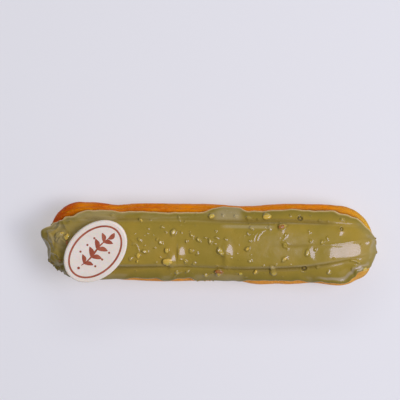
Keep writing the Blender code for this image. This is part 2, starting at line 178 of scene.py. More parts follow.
# Chopped nuts in the icing. The larger ones have their places: X, Y and length. The others are drawn.
LARGE_NUTS = (
    (-66.9, 2.6, 4.0), (-63.4, 1.9, 2.6), (-30.6, 10.1, 2.4), (-31.6, -5.6, 2.6), (-28.2, -3.7, 3.0),
    (-21.6, 0.4, 2.6), (-15.9, 4.8, 3.4), (-13.2, 11.0, 2.8), (-18.9, -3.2, 2.4), (-18.3, -8.2, 4.2),
    (-14.0, -3.6, 4.8), (-8.2, -3.3, 2.4), (-14.2, -12.5, 2.4), (-7.8, 3.9, 2.4), (-4.6, 2.0, 2.8),
    (0.2, 1.4, 2.8), (0.9, 12.4, 3.0), (-1.4, -13.6, 2.6), (4.6, -12.3, 4.2), (4.6, -2.9, 4.0),
    (8.6, -3.2, 3.2), (11.6, 12.4, 2.4), (17.2, 11.6, 3.0), (25.3, 12.6, 4.4), (16.7, -1.8, 2.4),
    (18.1, -7.1, 2.4), (20.9, -12.0, 2.6), (28.7, -11.3, 6.0), (31.8, 8.2, 4.0), (33.4, 0.0, 2.6),
    (33.4, -5.9, 3.2), (43.4, -3.2, 3.2), (44.2, 6.2, 2.0), (59.0, 12.0, 2.4),
    (67.3, 1.0, 1.6), (53.2, -11.5, 2.8), (65.4, -7.4, 4.2),
)
DRAWN_NUTS = 28
DRAWN_NUT_SIZES = (1.3, 2.3)
SMOOTH_PATCHES = ((61, -2, 9, 5), (26, -1, 6, 6))  # without drawn nuts: X, Y, and reach along X and Y
NUT_SPACING = 0.8  # between any two
NUT_FIELD = 0.82  # how far out they lie, over the bun's outline
NUT_SEED = 13
NUT_WIDTH = (0.6, 0.85)  # least and most, over its length
NUT_HEIGHT = 0.28  # how far it lifts the icing, over its length
NUT_HEIGHTS = (0.6, 1.1)  # least and most, over that height
NUT_ROUGHNESS = 0.22  # of that height
# A nut is a plateau with random sides. Where nothing else is said, lengths are over its half length.
NUT_SIDES = 5
NUT_SIDE_OFF = (0.62, 1.0)  # how far out a side lies, least and most
NUT_SIDE_SHIFT = 0.3  # how far a side is turned out of its place, over the angle from side to side
NUT_CORNERS = 6  # the power that blends the sides: a lower one rounds the corners more
NUT_EDGE = (0.6, 1.25)  # where the plateau begins to fall, and where it has ended
NUT_WINDOW = 1.3  # how far from its middle its lift is worked out, over its length
SKIRT_REACH = 1.5  # of the icing that rises round it
SKIRT_SHARE = 0.15  # of the lift
NUT_SHADE_WIDTH = 0.22  # of the painted shade along the plateau's edge
NUT_SHADE_DEPTHS = (0.3, 1.0)  # how dark that painted shade is, least and most
NUT_LEAN = (0.1, 0.8)  # how steeply their tops lean east
NUT_TILT = 0.2  # how steeply they lean north or south besides, at the most
NUT_LEVELLING = 2.3  # how far their tops level out the bun's fall to its sides
MOST_LEVELLING = 0.8
NUT_TOPS = (0.3, 1.7)  # least and most height of a slanted top, over its middle's
# Coarse grains just under the skin: place along X and Y, and length. The fine ones are drawn.
COARSE_GRAINS = (
    (-26.0, 10.2, 1.0), (-19.2, 5.1, 1.3), (-27.5, 4.3, 1.1), (-23.2, 1.8, 1.6), (-2.0, 2.9, 1.2),
    (2.5, 0.4, 1.2), (2.8, 5.9, 1.2), (-28.6, -1.1, 1.0), (-12.2, -7.0, 1.1), (-31.8, -8.0, 1.0),
    (21.5, 11.1, 1.4), (32.8, 3.0, 1.1), (29.5, -8.6, 1.1), (14.0, -13.0, 1.2), (16.7, -14.2, 1.2),
    (35.9, 13.0, 1.3), (55.4, -5.2, 1.1), (44.8, 13.0, 1.3),
)
FINE_GRAINS = 90
FINE_GRAIN_FIELD = (-40.0, 36.0)  # along X
FINE_GRAIN_REACH = 0.9  # how far out they lie, over the bun's outline
FINE_GRAIN_CROWD = 0.7  # below 1 they crowd towards the sides
FINE_GRAIN_SIZES = (0.5, 1.0)
GRAIN_HEIGHT = 0.34  # over its length
GRAIN_HEIGHTS = (0.7, 1.2)  # least and most, over that height
GRAIN_SPACING = 1.0  # from the plaque
# Nuts that the icing leaves bare on top: place along X and Y, length, width, and turn in degrees.
BARE_KERNELS = (
    (-18.3, -8.3, 4.2, 2.7, 8), (25.4, 12.6, 3.8, 2.1, 12), (-63.2, 2.2, 2.8, 1.9, 60),
    (1.0, 12.4, 2.6, 1.5, 30), (-31.4, -5.7, 2.2, 1.6, 80), (-18.9, -3.2, 2.3, 1.4, 95),
    (-30.4, 10.1, 1.6, 1.0, 120), (16.7, -1.8, 1.6, 1.1, 40), (20.6, -12.2, 2.0, 1.2, 60),
    (14.0, -13.0, 1.5, 1.1, 0), (33.4, -6.1, 1.8, 1.0, 10), (-31.8, -8.1, 1.2, 0.8, 90),
    (69.2, -10.0, 2.2, 1.6, 30), (-65.6, 3.8, 2.0, 1.2, 10),
)
BARE_SKINS = (
    (4.6, -12.3, 3.8, 1.8, -8), (31.7, 8.3, 2.8, 1.7, 15), (-62.9, -0.6, 2.2, 1.3, 100),
    (-66.3, -8.4, 1.6, 1.0, 40),
)
BIT_ROUGHNESS = 0.16  # of bare nuts and crumbs, over their size

# Crumbs of icing and crust on stretches of the rim: from X, Y to X, Y, and how many.
CRUMB_STRETCHES = (
    (-71.6, -8.6, -64.2, -14.2, 15), (-5.6, -16.0, 2.4, -16.2, 9), (73.8, 4.8, 74.4, -4.2, 7),
    (-71.5, 7.2, -69.0, 8.6, 3), (29.0, -15.4, 33.0, -15.6, 2),
)
CRUMB_SIZES = (0.6, 1.2)
CRUMB_WIDTH = (0.55, 0.9)  # least and most, over its length
CRUMB_SCATTER = 0.5  # how far they lie off those lines
CRUMB_SEED = 5

# The plaque.
PLAQUE_HALF_LENGTH = 16.2
PLAQUE_HALF_WIDTH = 11.7
PLAQUE_THICKNESS = 2.2
PLAQUE_ROUNDING = 0.75
PLAQUE_FACE_INSETS = (9.0, 6.0, 3.6, 2.0, 1.2)  # of the rings that close a face
PLAQUE_UNEVENNESS = 0.05
PLAQUE_AT = (-50.3, -4.0)
PLAQUE_TURN = 46.0  # degrees from X to its long axis
PLAQUE_LEAN = (4.0, 12.0)  # degrees that it leans west and south

# The print on the plaque: a ring, and a sprig of leaves along the long axis.
PRINT_THICKNESS = 0.05
PRINT_RAISED = 0.03  # over the plaque's face
RING_INSET = 2.5  # from the plaque's edge to the middle of the ring
RING_WIDTH = 0.85
SPRIG_HALF_LENGTH = 10.2
STEM_HALF_LENGTH = 0.86 * SPRIG_HALF_LENGTH
STEM_WIDTH = 0.9
STEM_TAPER = 0.6  # how much of its width it loses towards its ends
STEM_WAVE = 0.5  # how far it bends off the long axis
LEAF_LENGTH = 5.2
LEAF_WIDTH = 2.3
LEAF_PAIRS = 4
LEAF_ANGLE = 52.0  # degrees off the stem
LEAF_BEND = 0.12  # of its midline, over its length
LEAF_FULLNESS = 0.8  # below 1 its ends are blunter
TIP_LEAF = (0.8, 0.8, 0.9)  # its place over the sprig's half length, and its length and width over a leaf's
LEAVES_START = 0.3  # how far up the stem the first pair stands, over the way from pair to pair
LARGEST_LEAVES = -0.1  # where along the stem, from -1 to 1, and how much smaller they get away from it
LEAF_SHRINKING = 0.22
BERRIES_START = 0.95  # as LEAVES_START, for the berries beside the stem
BERRY_RADIUS = 0.62
BERRY_OFF = 4.6  # from the long axis
SIDE_BERRY = 0.8  # size of those beside the stem, over the one at its foot
FOOT_BERRY_GAP = 0.3  # from the sprig's end to the middle of that one

# Mesh fineness.
CHOUX_STATIONS = 300  # from tip to tip along each side
CHOUX_HIDDEN = 32.0  # degrees down from the crown, up to where the icing hides it
CHOUX_HIDDEN_ROWS = 6
CHOUX_ROWS = 128
BASE_ROWS = 8
ICING_STATIONS = 420
ICING_ROWS = 100
UNDERSIDE_ROWS = 10
PLAQUE_STATIONS = 180
OUTLINE_STEPS = 4000  # to measure the way round the bun
BALL_SIDES = 20  # of bare nuts and crumbs
BALL_RINGS = 11
SHARP_ANGLE = 50.0  # degrees between two faces, above which their edge shows

# The photograph's camera looks straight down. Its frame is 400 pixels wide.
FRAME_PIXELS = 400
MM_PER_PIXEL = 0.4468
CAMERA_AT = (-4.43, 19.46)
CAMERA_ROLL = 0.94  # degrees
SENSOR = 36.0
LENS = 300.0
SUBJECT_HEIGHT = 12.0

# The table.
FLOOR_HALF_WIDTH = 1500.0
FLOOR_GAP = 0.02  # below the base, so that the two faces don't share a plane


# ---------------------------------------------------------------------------------------- shapes


LATTICE = 24  # corners along each edge of the noise's lattice, which repeats beyond them
NOISE_GAIN = 1.6


def gradient_noise(points, size, seed):
    """Smooth noise of about -1 to 1 with features of that size: each corner of a lattice has a random
    direction, and a point adds up its offsets along the eight nearest ones, eased between corners."""
    lattice = np.random.default_rng(seed).normal(size=(LATTICE, LATTICE, LATTICE, 3))
    lattice /= np.linalg.norm(lattice, axis=-1, keepdims=True)
    place = points / size
    low = np.floor(place).astype(int)
    share = place - low
    eased = share**3 * (share * (share * 6 - 15) + 10)
    total = np.zeros(points.shape[:-1])
    for corner in itertools.product((0, 1), repeat=3):
        index = (low + corner) % LATTICE
        direction = lattice[index[..., 0], index[..., 1], index[..., 2]]
        weight = np.prod(np.where(corner, eased, 1 - eased), axis=-1)
        total += weight * np.sum(direction * (share - corner), axis=-1)
    return total * NOISE_GAIN


def layered_noise(points, size, seed):
    """Noise of that size, with half as much again at half the size."""
    return gradient_noise(points, size, seed) + gradient_noise(points, size / 2, seed + 1) / 2


def smooth_step(value, low, high):
    """0 up to low, 1 from high, eased between."""
    share = np.clip((value - low) / (high - low), 0, 1)
    return share * share * (3 - 2 * share)


def smooth_between(knots, x):
    """The value at x, easing from each knot (place, value) to the next."""
    places, values = np.array(knots, float).T
    after = np.clip(np.searchsorted(places, x), 1, len(places) - 1)
    share = smooth_step(x, places[after - 1], places[after])
    return values[after - 1] + (values[after] - values[after - 1]) * share


def ridge(off, width):
    """A bell curve across a line, from 0 to 1, at this distance off it."""
    return np.exp(-((off / width) ** 2))


def bell(x, y, at, reach):
    """A bell curve over a place, from 0 to 1, with its own reach along X and Y."""
    return np.exp(-(((x - at[0]) / reach[0]) ** 2) - ((y - at[1]) / reach[1]) ** 2)


def outline(x, side):
    """How far the bun reaches north or south of the middle at x, signed: a half width with swells,
    times an ellipse's taper towards each tip."""
    east = (x - EAST_TIP + EAST_ROUNDING[side]) / EAST_ROUNDING[side]
    west = (WEST_TIP + WEST_ROUNDING[side] - x) / WEST_ROUNDING[side]
    taper = np.sqrt((1 - np.clip(east, 0, 1) ** 2) * (1 - np.clip(west, 0, 1) ** 2))
    swell = sum(rise * ridge(x - at, reach) for at, reach, rise in SWELLS[side])
    return side * (HALF_WIDTH[side] + swell) * taper


def crown(x):
    """Height of the crown line at x: level, less a fourth power towards its ends, plus slow waves."""
    share = x / (CROWN_LINE * EAST_TIP)
    waves = sum(high * np.sin(2 * math.pi * (x / length + start)) for high, length, start in CROWN_WAVES)
    return CROWN_HEIGHT - CROWN_FALL * share**4 + waves


def bun_point(x, y_out, turn):
    """The bare bun's surface on the line from the crown, over the outline at (x, y_out), to the base.
    turn is in degrees: 0 at the crown, 90 at the widest line, 180 at the edge of the flat base. Above
    and below the widest line the section is a quarter of a superellipse."""
    sine = np.abs(np.sin(np.radians(turn)))
    cosine = np.abs(np.cos(np.radians(turn)))
    upper = turn <= 90
    reach = np.where(upper, sine**UPPER_SQUARENESS, BASE_REACH + (1 - BASE_REACH) * sine**LOWER_SQUARENESS)
    x_crown = CROWN_LINE * x
    rise = (crown(x_crown) - WIDEST_HEIGHT) * cosine**UPPER_SQUARENESS
    height = WIDEST_HEIGHT + np.where(upper, rise, -WIDEST_HEIGHT * cosine**LOWER_SQUARENESS)
    return np.stack([x_crown + reach * (x - x_crown), reach * y_out, height], axis=-1)


def flute_path(x, north, bend):
    """How far north a top flute runs at x: straight, then along a parabola towards the east tip."""
    return north + bend * np.clip((x - EAST_TIP) / FLUTE_BEND + 1, 0, 1) ** 2


def flute_depth(point, turn):
    """How deep the nozzle's flutes are at a point of the bun: bell curves across each flute's line,
    which fade out towards the tips."""
    x, y = point[..., 0], point[..., 1]
    depth = SIDE_FLUTE_DEPTH * sum(ridge(turn - at, SIDE_FLUTE_SPREAD) for at in SIDE_FLUTES)
    for north, deep, spread, bend in TOP_FLUTES:
        depth = depth + deep * ridge(y - flute_path(x, north, bend), spread) * (turn < TOP_FLUTE_END)
    fade = np.clip((EAST_TIP - x) / FLUTE_FADE, 0, 1) * np.clip((x - WEST_TIP) / FLUTE_FADE, 0, 1)
    return depth * fade


def normals(grid):
    """Unit normals of a grid of points, stations round the bun by rows down it. On the crown line, the
    first row, each is the mean of its neighbours on both sides."""
    along = np.roll(grid, -1, axis=0) - np.roll(grid, 1, axis=0)
    down = np.gradient(grid, axis=1)
    across = np.cross(along, down)
    across[:, 0] = (0, 0, 1)
    across /= np.linalg.norm(across, axis=-1, keepdims=True)
    other_side = np.roll(across[::-1, 1], 1, axis=0)
    crown_line = across[:, 1] + other_side
    across[:, 0] = crown_line / np.linalg.norm(crown_line, axis=-1, keepdims=True)
    return across


def around(count):
    """The stations round the bun, as x and y on its outline: west to east along the north side, and
    back along the south side, an even way apart."""
    middle, half = (EAST_TIP + WEST_TIP) / 2, (EAST_TIP - WEST_TIP) / 2
    fine = middle + half * np.sin(np.linspace(-math.pi / 2, math.pi / 2, OUTLINE_STEPS))
    steps = np.hypot(np.diff(fine), np.diff(outline(fine, NORTH)))
    way = np.concatenate([[0], np.cumsum(steps)])
    x = np.interp(np.linspace(0, way[-1], count), way, fine)
    back = slice(-2, 0, -1)
    return np.concatenate([x, x[back]]), np.concatenate([outline(x, NORTH), outline(x, SOUTH)[back]])


def fluted(x, y_out, turns):
    """The bun's points, for stations by rows of turns, with the flutes pressed in along the normals, and the
    normals. Near the crown line these ease into its own, so that the icing doesn't fold over itself."""
    grid = bun_point(x[:, None], y_out[:, None], turns)
    facing = normals(grid)
    near_crown = 1 - smooth_step(turns, 0, CROWN_BLEND)[..., None]
    facing = facing + (facing[:, :1] - facing) * near_crown
    facing /= np.linalg.norm(facing, axis=-1, keepdims=True)
    flat = (turns >= 180)[..., None]
    return np.where(flat, grid, grid - facing * flute_depth(grid, turns)[..., None]), facing


def turn_of(reach):
    """The turn, in degrees, at which the upper bun reaches this share of its outline."""
    return np.degrees(np.arcsin(np.clip(reach, 0, 1) ** (1 / UPPER_SQUARENESS)))


def ring_faces(first, second):
    """Quads between two closed rings of point numbers."""
    return np.stack([first, np.roll(first, -1), np.roll(second, -1), second], axis=-1)


def band_faces(rings):
    """Quads between each closed ring of point numbers and the next."""
    return np.concatenate([ring_faces(first, second) for first, second in zip(rings[:-1], rings[1:])])


def fan_faces(point, ring, upwards=True):
    """Triangles between a point number and the closed ring round it, facing up or down."""
    before, after = (ring, np.roll(ring, -1)) if upwards else (np.roll(ring, -1), ring)
    return [[point, *edge] for edge in zip(before, after)]


def line_faces(line, ring):
    """Quads between a line of point numbers and the ring round it, which has two points for each."""
    return ring_faces(np.concatenate([line, line[-2:0:-1]]), ring)


class Dome:
    """A grid of points, stations by rows, whose first row is a line that both sides share."""

    def __init__(self, grid, start=0):
        stations, rows = grid.shape[:2]
        count = stations // 2 + 1
        self.line = start + np.arange(count)
        self.rings = start + count + np.arange(stations * (rows - 1)).reshape(rows - 1, stations)
        self.points = self.in_order(grid)
        self.faces = np.concatenate([line_faces(self.line, self.rings[0]), band_faces(self.rings)])

    @staticmethod
    def in_order(values):
        """The grid's values in the order of its point numbers."""
        below = np.swapaxes(values[:, 1:], 0, 1)
        return np.concatenate([values[: len(values) // 2 + 1, 0], below.reshape(-1, *values.shape[2:])])


def add_object(name, data):
    """A new object with this mesh, light or camera, at the origin of the scene."""
    obj = bpy.data.objects.new(name, data)
    bpy.context.collection.objects.link(obj)
    return obj


def piece(name, points, faces, material, attributes=(), node=None):
    """A smooth mesh object of these points, in millimetres, that rides on the eclair, with an attribute on
    its points for each pair of name and values. It replaces the CAD node, if one is named."""
    mesh = bpy.data.meshes.new(name)
    mesh.from_pydata(np.asarray(points) * MM, [], [list(face) for face in faces])
    for label, values in attributes:
        layer = mesh.attributes.new(label, "FLOAT", "POINT")
        layer.data.foreach_set("value", np.asarray(values, dtype=np.float32))
    mesh.materials.append(material)
    mesh.shade_smooth()
    mesh.set_sharp_from_angle(angle=math.radians(SHARP_ANGLE))
    obj = add_object(name, mesh)
    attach(obj, "root")
    if node:
        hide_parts(node)


# ---------------------------------------------------------------------------------------- choux


def choux_relief(points, turns):
    """How far the crust stands out of the smooth bun, and how cracked it is: slow swells, wrinkles drawn
    out along the bun, and thin cracks, in patches, where a drawn-out noise crosses zero."""
    slow, small = CRUST_SWELLS
    swells = slow * layered_noise(points, size=15, seed=1)
    swells += small * layered_noise(points, size=5, seed=5)
    drawn_out = points * CRUST_STRETCH
    wrinkles = CRUST_WRINKLE * layered_noise(drawn_out, size=1.5, seed=11)
    bent = 0.25 * gradient_noise(points, size=2.2, seed=22)
    crossing = np.abs(gradient_noise(drawn_out + 40, size=3.2, seed=21) + bent)
    patches = smooth_step(gradient_noise(points, size=13, seed=23), -0.1, 0.35)
    cracks = (1 - smooth_step(crossing, 0.0, CRACK_WIDTH)) * patches
    above_base = smooth_step(180 - turns, 0, BASE_CALM)
    return (swells + wrinkles - CRACK_DEPTH * cracks) * above_base, cracks * above_base


def choux_bun(material):
    """The baked bun: the fluted surface plus the crust's relief, closed by a flat base."""
    x, y_out = around(CHOUX_STATIONS)
    hidden = np.linspace(0, CHOUX_HIDDEN, CHOUX_HIDDEN_ROWS, endpoint=False)
    turns = np.tile(np.concatenate([hidden, np.linspace(CHOUX_HIDDEN, 180, CHOUX_ROWS)]), (len(x), 1))
    smooth, facing = fluted(x, y_out, turns)
    relief, cracks = choux_relief(smooth, turns)
    grid = smooth + facing * relief[..., None]
    grid[..., 2] = np.maximum(grid[..., 2], 0)
    dome = Dome(grid)
    inwards = np.linspace(1, 0, BASE_ROWS, endpoint=False)[1:, None, None]
    edge = grid[:, -1] * (1, 1, 0)
    middle = grid[:, 0] * (1, 1, 0)
    base = middle + inwards * (edge - middle)
    base_rings = len(dome.points) + np.arange(base.shape[0] * len(x)).reshape(-1, len(x))
    base_line = base_rings[-1, -1] + 1 + np.arange(len(dome.line))
    base_middle = line_faces(base_line, base_rings[-1])[:, ::-1]
    faces = np.concatenate([dome.faces, band_faces([dome.rings[-1], *base_rings]), base_middle])
    points = np.concatenate([dome.points, base.reshape(-1, 3), middle[: len(dome.line)]])
    # How far below the icing's rim each point lies, which places the painted shade next to the icing
    below_icing = np.radians(turns - rim_turn(x, y_out)[:, None]) * WIDEST_HEIGHT
    layers = {"crack": cracks, "relief": relief, "below_icing": below_icing}
    attributes = [
        (name, np.pad(dome.in_order(layer), (0, len(points) - len(dome.points)), mode="edge"))
        for name, layer in layers.items()
    ]
    piece("choux_crust", points, faces, material, attributes, node="choux_bun")


# ---------------------------------------------------------------------------------------- icing


def rim_inset(x, y):
    """How far inside the bun's outline the rim lies, on the side of y."""
    return np.where(y >= 0, smooth_between(RIM_INSET[NORTH], x), smooth_between(RIM_INSET[SOUTH], x))


def rim_turn(x, y_out):
    """The turn at which the icing ends, from the rim's inset inside the outline, which wavers a little."""
    waver = gradient_noise(np.stack([x, y_out, 0 * x], axis=-1), size=4.5, seed=31)
    inset = rim_inset(x, y_out) + RIM_WAVER * waver
    return turn_of(1 - np.maximum(inset, LEAST_INSET) / np.hypot(y_out, (1 - CROWN_LINE) * x))


def way_to_rim(grid):
    """How far each point lies above the rim, along its line down the bun."""
    steps = np.linalg.norm(np.diff(grid, axis=1), axis=-1)
    return np.pad(np.cumsum(steps[:, ::-1], axis=1)[:, ::-1], ((0, 0), (0, 1)))


def icing_thickness(grid, from_rim):
    """Thickness of the icing at the bun's points, how far each lies in a crease, for painted shade, and how
    far on a lip, for a painted highlight. It is even, with a bead and a quarter circle at the rim,
    bell-shaped lobes, and slow unevenness from pouring."""
    x, y = grid[..., 0], grid[..., 1]
    rounding = np.sqrt(1 - (1 - np.clip(from_rim / BEAD_LENGTH, 0, 1)) ** 2)
    rolled = bell(x, y, ROLL_AT, (ROLL_REACH, ROLL_REACH))
    bead = (BEAD + ROLL * rolled) * ridge(from_rim - BEAD_LENGTH, BEAD_LENGTH)
    lobes = sum(
        rise * bell(x, y, (at_x, at_y), (reach_x, reach_y)) for at_x, at_y, reach_x, reach_y, rise in LOBES
    )
    calm = 1 - CALM * bell(x, y, CALM_AT, CALM_REACH)
    slow, fine = POUR_WAVES
    uneven = slow * gradient_noise(grid, size=17, seed=41)
    uneven += fine * calm * layered_noise(grid, size=6, seed=42)
    added, within, lips = crease_relief(grid)
    return (ICING + bead + lobes + uneven + added + mounds(grid)) * rounding, within, lips


def crease_relief(grid):
    """What the icing adds over the top flutes, how far each point lies in a crease, for painted shade, and
    how far on a lip, for a painted highlight. Where a crease is shut the icing fills the flute's bell curve.
    Where it is open it fills part of it, and leaves a narrower one that wavers and gets shallower and deeper
    along sines. North of it the icing rises in a ledge that sinks away exponentially, or falls towards a
    lower level in the same way. A lip is a bell curve along the crease, for the painted highlight alone."""
    x, y = grid[..., 0], grid[..., 1]
    fade = np.clip((x - WEST_TIP) / FLUTE_FADE - 0.5, 0, 1)
    added, within, lips = np.zeros((3, *x.shape))
    waver, waver_length = CREASE_WAVER
    pulse, pulse_length = CREASE_PULSE
    for (north, deep, spread, bend), crease in zip(TOP_FLUTES, CREASES):
        opening, depth, ledge, fall, reach, shift, lip_off = crease
        off = y - flute_path(x, north, bend)
        opened = smooth_between(opening, x)
        added += (1 - (1 - FLUTE_FILL) * opened) * deep * ridge(off, spread)
        off = off - waver * np.sin(x / waver_length + north) - shift
        opened = opened * (1 - pulse + pulse * np.sin(x / pulse_length + 2 * north))
        deep_here = smooth_between(depth, x)
        added -= deep_here * opened * ridge(off, CREASE_WIDTH)
        away = np.exp(-np.maximum(off, 0) / reach)
        added += smooth_between(ledge, x) * smooth_step(off, *LEDGE_EDGE) * away
        added -= smooth_between(fall, x) * (1 - away)
        # How far a point lies in the crease, for painted shade, more where it is deeper than DARK_DEPTH
        within += opened * np.maximum(deep_here / DARK_DEPTH, 1) * ridge(off, 2 * CREASE_WIDTH)
        # The lip, for a painted highlight
        if lip_off is not None:
            lips += opened * ridge(off - lip_off, LIP_WIDTH)
    return added * fade, within * fade, lips * fade


def mounds(grid):
    """Bell-shaped mounds, and folds at the west end: ridged noise, which is highest where smooth noise
    crosses zero, with small lumps of noise."""
    x, y = grid[..., 0], grid[..., 1]
    rise = np.zeros(x.shape)
    for at_x, at_y, east, west, reach_y, high in MOUNDS:
        rise += high * bell(x, y, (at_x, at_y), (np.where(x > at_x, east, west), reach_y))
    ridges = (1 - np.abs(gradient_noise(grid * FOLD_STRETCH, size=5.5, seed=45))) ** 3
    folds = ridges + FOLD_LUMPS * gradient_noise(grid, size=2.4, seed=46)
    return rise + FOLD_HEIGHT * folds * smooth_step(x, *FOLD_ENDS)


def inside_rim(x, y):
    """Whether the icing covers the bun at (x, y)."""
    side = NORTH if y >= 0 else SOUTH
    return abs(y) < abs(float(outline(x, side))) - float(rim_inset(x, y))


def clear_of_plaque(x, y, margin):
    """Whether a nut at (x, y) stays out from under the plaque."""
    turn = math.radians(PLAQUE_TURN)
    dx, dy = x - PLAQUE_AT[0], y - PLAQUE_AT[1]
    along = dx * math.cos(turn) + dy * math.sin(turn)
    across = dy * math.cos(turn) - dx * math.sin(turn)
    return math.hypot(along / (PLAQUE_HALF_LENGTH + margin), across / (PLAQUE_HALF_WIDTH + margin)) > 1


def on_smooth_patch(x, y):
    """Whether (x, y) lies in one of the ovals that have no drawn nuts."""
    return any(
        math.hypot((x - at_x) / reach_x, (y - at_y) / reach_y) < 1
        for at_x, at_y, reach_x, reach_y in SMOOTH_PATCHES
    )


def nut_places(draw):
    """Place and length of each nut: the larger ones, then others drawn over the rest of the top."""
    places = list(LARGE_NUTS)
    while len(places) < len(LARGE_NUTS) + DRAWN_NUTS:
        x = draw.uniform(WEST_TIP, EAST_TIP) * NUT_FIELD
        y = float(outline(x, draw.choice((NORTH, SOUTH)))) * NUT_FIELD * draw.random()
        size = draw.uniform(*DRAWN_NUT_SIZES)
        apart = [math.dist((x, y), place[:2]) - (size + place[2]) / 2 for place in places]
        free = min(apart) > NUT_SPACING and clear_of_plaque(x, y, size / 2 + NUT_SPACING)
        if free and not on_smooth_patch(x, y) and inside_rim(x, y):
            places.append((x, y, size))
    return places


def window(grid, x, y, reach):
    """Which points of the grid lie in a square round (x, y)."""
    return np.all(np.abs(grid[..., :2] - (x, y)) < reach, axis=-1)


class Surface:
    """The icing's outer grid, to look up what lies under a place seen from above."""

    def __init__(self, grid, facing):
        self.points = grid.reshape(-1, 3)
        self.facing = facing.reshape(-1, 3)

    def frame_at(self, x, y, turn):
        """The point at (x, y), and three unit vectors there: two along the surface, turned from X by
        that many radians, and the normal."""
        nearest = np.argmin((self.points[:, 0] - x) ** 2 + (self.points[:, 1] - y) ** 2)
        normal = self.facing[nearest]
        first = np.cross((0.0, 1.0, 0.0), normal)
        first /= np.linalg.norm(first)
        second = np.cross(normal, first)
        turned = (
            first * math.cos(turn) + second * math.sin(turn),
            second * math.cos(turn) - first * math.sin(turn),
            normal,
        )
        return self.points[nearest], np.array(turned)

    def local(self, grid, x, y, turn=0.0):
        """The grid's places along and across a spot on the surface."""
        at, axes = self.frame_at(x, y, turn)
        offset = grid - at
        return offset @ axes[0], offset @ axes[1]


def lump(grid, surface, place, length, draw):
    """Which grid points one nut covers, its lift of the icing there, of about 1 in the middle, and how far
    each point lies in the painted shade round it. The lift is a plateau inside random sides, whose distances
    are blended by a power norm, with soft edges and a top that slants: it leans east, and levels out part of
    the bun's fall to its side. A wider bell-shaped skirt of icing rises with it. The painted shade is a bell
    curve across the plateau's edge."""
    x, y = place
    near = window(grid, x, y, NUT_WINDOW * length)
    along, across = surface.local(grid[near], x, y, draw.uniform(0, math.pi))
    u = along / (length / 2)
    v = across / (length / 2 * draw.uniform(*NUT_WIDTH))
    sides = 0
    for i in range(NUT_SIDES):
        angle = 2 * math.pi * (i + draw.uniform(-NUT_SIDE_SHIFT, NUT_SIDE_SHIFT)) / NUT_SIDES
        out = (u * math.cos(angle) + v * math.sin(angle)) / draw.uniform(*NUT_SIDE_OFF)
        sides = sides + np.maximum(out, 0) ** NUT_CORNERS
    reach = sides ** (1 / NUT_CORNERS)
    east, north = (grid[near][:, 0] - x) / (length / 2), (grid[near][:, 1] - y) / (length / 2)
    level = math.copysign(min(NUT_LEVELLING * (y / HALF_WIDTH[NORTH]) ** 2, MOST_LEVELLING), y)
    slant = 1 - draw.uniform(*NUT_LEAN) * east + (level + draw.uniform(-NUT_TILT, NUT_TILT)) * north
    plateau = (1 - smooth_step(reach, *NUT_EDGE)) * np.clip(slant, *NUT_TOPS)
    lift = (1 - SKIRT_SHARE) * plateau + SKIRT_SHARE * ridge(reach, SKIRT_REACH)
    return near, lift, ridge(reach - NUT_EDGE[1], NUT_SHADE_WIDTH)


def nut_lumps(grid, surface):
    """How far the nuts and grains lift the icing, the highest nut counting, and the painted shade round them.
    """
    draw = random.Random(NUT_SEED)
    rise, nut_shades = np.zeros((2, *grid.shape[:2]))
    for x, y, length in nut_places(draw):
        if (x, y) in DEEP_NUTS:
            continue
        near, lift, nut_shade = lump(grid, surface, (x, y), length, draw)
        rough = 1 + NUT_ROUGHNESS * gradient_noise(grid[near], size=1.2, seed=47)
        nut_shades[near] = np.maximum(nut_shades[near], nut_shade * draw.uniform(*NUT_SHADE_DEPTHS))
        rise[near] = np.maximum(rise[near], length * NUT_HEIGHT * draw.uniform(*NUT_HEIGHTS) * lift * rough)
    grains = list(COARSE_GRAINS)
    while len(grains) < len(COARSE_GRAINS) + FINE_GRAINS:
        x = draw.uniform(*FINE_GRAIN_FIELD)
        out = float(outline(x, draw.choice((NORTH, SOUTH)))) * FINE_GRAIN_REACH
        y = out * draw.random() ** FINE_GRAIN_CROWD
        if clear_of_plaque(x, y, GRAIN_SPACING) and inside_rim(x, y) and not on_smooth_patch(x, y):
            grains.append((x, y, draw.uniform(*FINE_GRAIN_SIZES)))
    for x, y, length in grains:
        near, lift, _ = lump(grid, surface, (x, y), length, draw)
        rise[near] += length * GRAIN_HEIGHT * draw.uniform(*GRAIN_HEIGHTS) * lift
    return rise, nut_shades


def skin_marks(grid, surface):
    """Wrinkles and burst bubbles. A wrinkle is a bell-shaped ridge along a line that bows in a parabola, and
    a bubble is a ring-shaped moat with a low rim, each a bell curve across its ring."""
    height = np.zeros(grid.shape[:2])
    for x0, y0, x1, y1, rise in WRINKLES:
        x, y = (x0 + x1) / 2, (y0 + y1) / 2
        length = math.dist((x0, y0), (x1, y1))
        near = window(grid, x, y, length)
        along, across = surface.local(grid[near], x, y, math.atan2(y1 - y0, x1 - x0))
        bow = WRINKLE_BOW * length * (1 - (2 * along / length) ** 2)
        past_end = np.maximum(np.abs(along) - length / 2, 0)
        height[near] += rise * ridge(np.hypot(past_end, across - bow), WRINKLE_WIDTH)
    for x, y, radius in BUBBLES:
        near = window(grid, x, y, 4 * radius)
        apart = np.hypot(*surface.local(grid[near], x, y)) / radius
        moat = BUBBLE_DEPTH * ridge(apart - 0.75, 0.3)
        rim = BUBBLE_RIM * BUBBLE_DEPTH * ridge(apart - 1.3, 0.3)
        height[near] += (rim - moat) * radius
    return height


